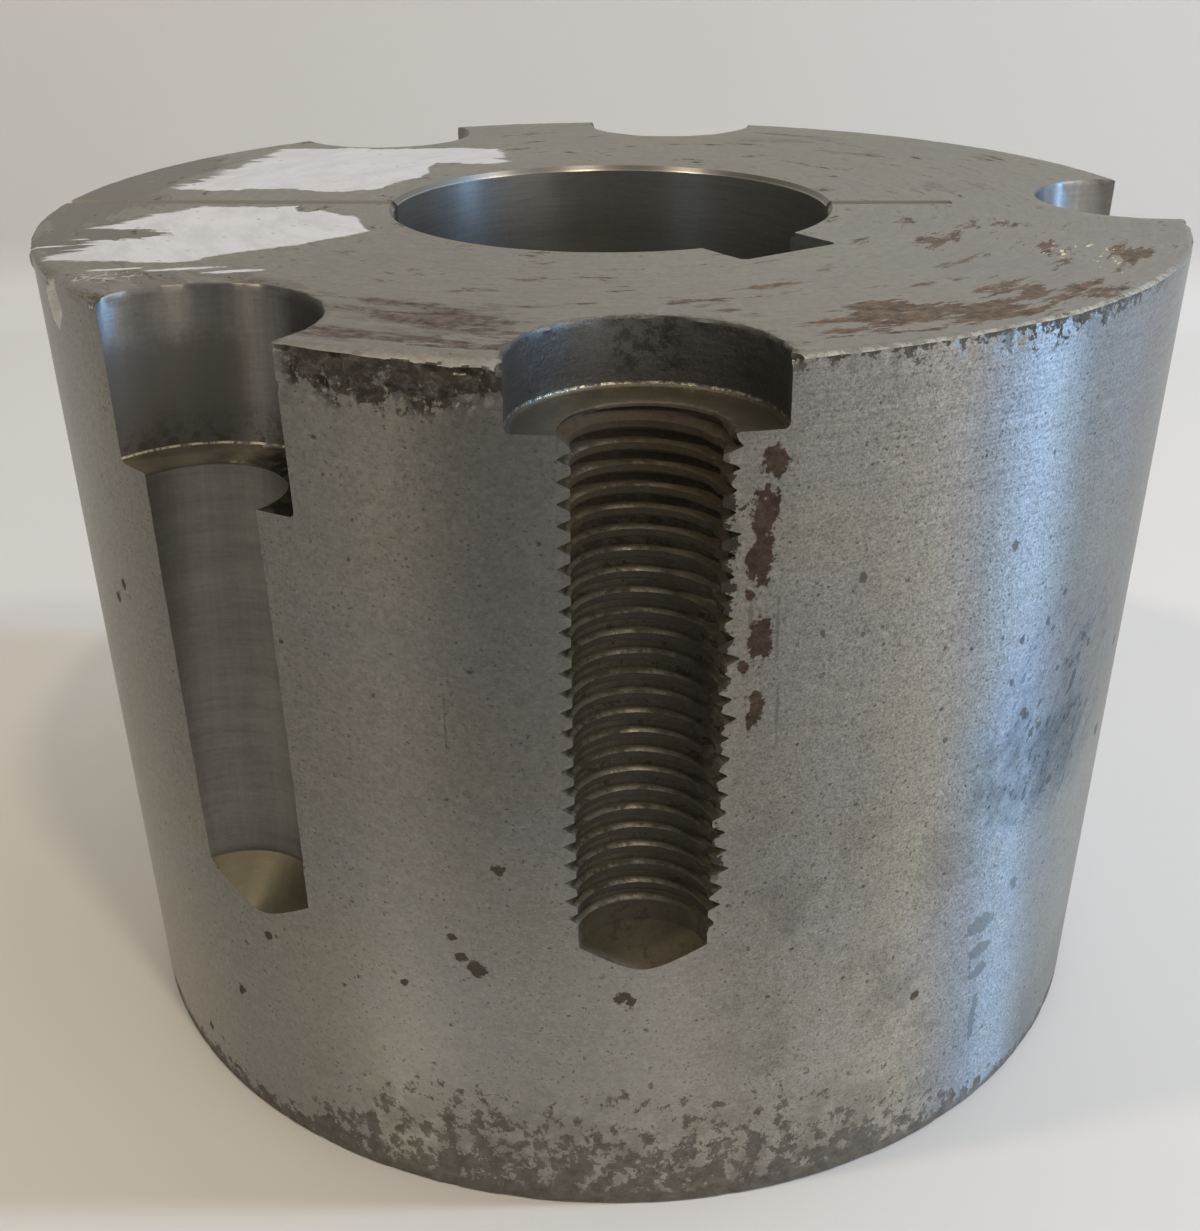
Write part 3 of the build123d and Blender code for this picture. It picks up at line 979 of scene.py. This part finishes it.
def straight_cut(name, reach, width, angle, corner):
    """A straight cutter through the length, from the axis out to reach, with its far
    corners rounded."""
    half = width / 2
    outline = [(0, -half)]
    for side, start in ((-1, -90), (1, 0)):
        for k in range(7 if corner else 1):
            x, y = polar(corner, start + 15 * k)
            outline.append((reach - corner + x, side * (half - corner) + y))
    outline.append((0, half))
    grid = np.array([[(x, y, z) for x, y in outline] for z in (-2, LENGTH + 2)], float)
    return tube(name, hole_frame(grid, angle, 0), bore_iron)


def chip(angle, height, out, size, turn, seed):
    """A rough lump that bites a chip out of an edge. Sizes are half-lengths: across the
    radius, along the rim and along the axis; out is how far its middle is past RIM."""
    work = bmesh.new()
    bmesh.ops.create_icosphere(work, subdivisions=4, radius=1)
    points = np.array([v.co[:] for v in work.verts])
    faces = [tuple(v.index for v in f.verts) for f in work.faces]
    work.free()
    points *= (1 + 0.12 * rough(points * 3 + seed, 1.6, seed, 3))[:, None]
    points *= np.array(size, float)
    tilt = Matrix.Rotation(math.radians(turn), 3, "X")
    points = points @ np.array(tilt).T
    points += np.array([RIM + out, 0, height])
    return solid_object("chip", hole_frame(points, angle, 0), faces, taper_iron)


skin = turned_body()
for name, reach, width, angle, corner in (
    ("keyway", KEY_FLOOR, KEY_WIDTH, KEY_ANGLE, KEY_CORNER),
    ("split", RIM + 3, SPLIT_WIDTH, 180, 0),
    ("slit", SLIT_REACH, SLIT_WIDTH, SLIT_ANGLE, 0),
):
    subtract(skin, straight_cut(name, reach, width, angle, corner))
for seed, angle in enumerate(SMOOTH_ANGLES):
    subtract(skin, smooth_hole(angle, 100 + 10 * seed))
for seed, angle in enumerate(THREAD_ANGLES):
    subtract(skin, threaded_hole(angle, 200 + 10 * seed, 1 if angle < 0 else 0.4))

# Chips that knocks have taken out of the rim and the corners
for seed, (angle, height, out, size, turn) in enumerate((
    (-145.8, 110.6, 1.35, (2.4, 3.7, 4.6), 10),
    (-136, 113.9, 0.9, (1.7, 1.4, 1.6), 0),
    (-95.6, 113.6, 0.4, (1.6, 0.8, 1.3), 0),
    (-74.2, 113.9, 0.5, (1.5, 0.9, 1), 0),
    (-18.5, 107.8, 0.2, (0.8, 0.8, 1.1), 0),
    (-9, 114.3, 0.9, (1.6, 2.4, 1.3), 0),
), start=302):
    subtract(skin, chip(angle, height, out, size, turn, seed))

# ---- finish of the skin
mesh = skin.data
mesh.transform(Matrix.Scale(MM, 4))
mesh.shade_smooth()
mesh.set_sharp_from_angle(angle=math.radians(32))
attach(skin, "root")
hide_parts("bush")


# ---- floor and backdrop
def floor_paint(name):
    made = bpy.data.materials.new(name)
    made.use_nodes = True
    shader = made.node_tree.nodes["Principled BSDF"]
    shader.inputs["Base Color"].default_value = (0.7, 0.68, 0.645, 1)
    shader.inputs["Roughness"].default_value = 0.45
    shader.inputs["Specular IOR Level"].default_value = 0.35
    return made


def sweep():
    """A floor that turns up into a wall behind the bush."""
    wall, bend, half, front, top = 0.36, 0.03, 1.6, -1.5, 1.2
    outline = [(front, 0), (wall - bend, 0)]
    for k in range(1, 9):
        down, out = polar(bend, 90 * k / 8)
        outline.append((wall - bend + out, bend - down))
    outline.append((wall, top))
    points = [(x, y, z) for y, z in outline for x in (-half, half)]
    faces = [(2 * k, 2 * k + 1, 2 * k + 3, 2 * k + 2) for k in range(len(outline) - 1)]
    mesh = plain_mesh("floor", points, faces, floor_paint("floor_paint"))
    mesh.shade_smooth()
    return add_object("floor", mesh)


def painted_shadow_felt():
    """Floor paint to the camera, and a dark painted shade to whatever the metal mirrors."""
    made = floor_paint("painted_shadow_felt_paint")
    nodes, links = made.node_tree.nodes, made.node_tree.links
    dark = nodes.new("ShaderNodeBsdfDiffuse")
    dark.inputs["Color"].default_value = (0.06, 0.058, 0.055, 1)
    both = nodes.new("ShaderNodeMixShader")
    links.new(nodes.new("ShaderNodeLightPath").outputs["Is Camera Ray"], both.inputs[0])
    links.new(dark.outputs[0], both.inputs[1])
    links.new(nodes["Principled BSDF"].outputs[0], both.inputs[2])
    links.new(both.outputs[0], nodes["Material Output"].inputs["Surface"])
    return made


def oval_shadow_mat(x, y, wide, deep):
    """A dark oval on the floor well in front of the bush, a painted shadow that only the metal's
    mirroring sees.
    """
    sides, lift = 48, 0.0004
    ring = [polar(1, 360 / sides * k) for k in range(sides)]
    points = [(x + wide * out, y + deep * aside, lift) for out, aside in ring]
    return add_object("shadow_mat", plain_mesh("shadow_mat", points, [tuple(range(sides))], painted_shadow_felt()))


floor = sweep()
shadow_mat = oval_shadow_mat(-0.105, -0.33, 0.105, 0.155)

# ---- light
world = bpy.data.worlds.new("world")
bpy.context.scene.world = world
world.use_nodes = True
sky = world.node_tree.nodes["Background"]
sky.inputs["Color"].default_value = (1, 0.97, 0.92, 1)
sky.inputs["Strength"].default_value = 0.3


def lamp(name, azimuth, elevation, distance, size, power, colour):
    """A soft lamp that faces the middle of the bush from this far away, in metres."""
    data = bpy.data.lights.new(name, "AREA")
    data.shape = "RECTANGLE"
    data.size, data.size_y = size
    data.energy, data.color = power, colour
    level, rise = polar(1, elevation)
    out = np.array([*polar(level, azimuth), rise])
    x, y = polar(1, azimuth)
    across = np.array([-y, x, 0])
    facing = Matrix(np.stack([across, np.cross(out, across), out], axis=1).tolist())
    half_height = np.array([0, 0, 0.06])
    place = Matrix.Translation(out * distance + half_height)
    add_object(name, data).matrix_world = place @ facing.to_4x4()


lamp("window", -1, 22, 1.53, (0.119, 1.19), 15.6, (0.34, 0.59, 1))
lamp("bright_wall", 30, 16, 1, (0.5, 0.7), 1.8, (0.48, 0.72, 1))
lamp("doorway", -37, 20, 1, (0.64, 0.6), 1.65, (1, 0.96, 0.9))
for side, azimuth, elevation in (("left", -150, 58), ("middle", -66, 60), ("right", -6, 45)):
    lamp("ceiling_" + side, azimuth, elevation, 1.2, (0.07, 0.07), 2.6, (1, 0.87, 0.68))
lamp("overhead", 60, 75, 1.3, (1.2, 1.2), 2.9, (1, 0.97, 0.94))

# ---- camera
CAMERA_AT = (0.009518, -0.236986, 0.161042)
HEADING, PITCH_DOWN, ROLL = 2.718, 18.94, -0.339
view = bpy.data.cameras.new("camera")
view.sensor_width = 36
view.lens = 47.671
view.shift_y = -0.1537
view.clip_start = 0.01
camera = add_object("camera", view)
camera.matrix_world = (
    Matrix.Translation(CAMERA_AT)
    @ Matrix.Rotation(math.radians(HEADING), 4, "Z")
    @ Matrix.Rotation(math.radians(90 - PITCH_DOWN), 4, "X")
    @ Matrix.Rotation(math.radians(ROLL), 4, "Z")
)
bpy.context.scene.camera = camera
bpy.context.scene.view_settings.view_transform = "Standard"

bpy.context.view_layer.update()
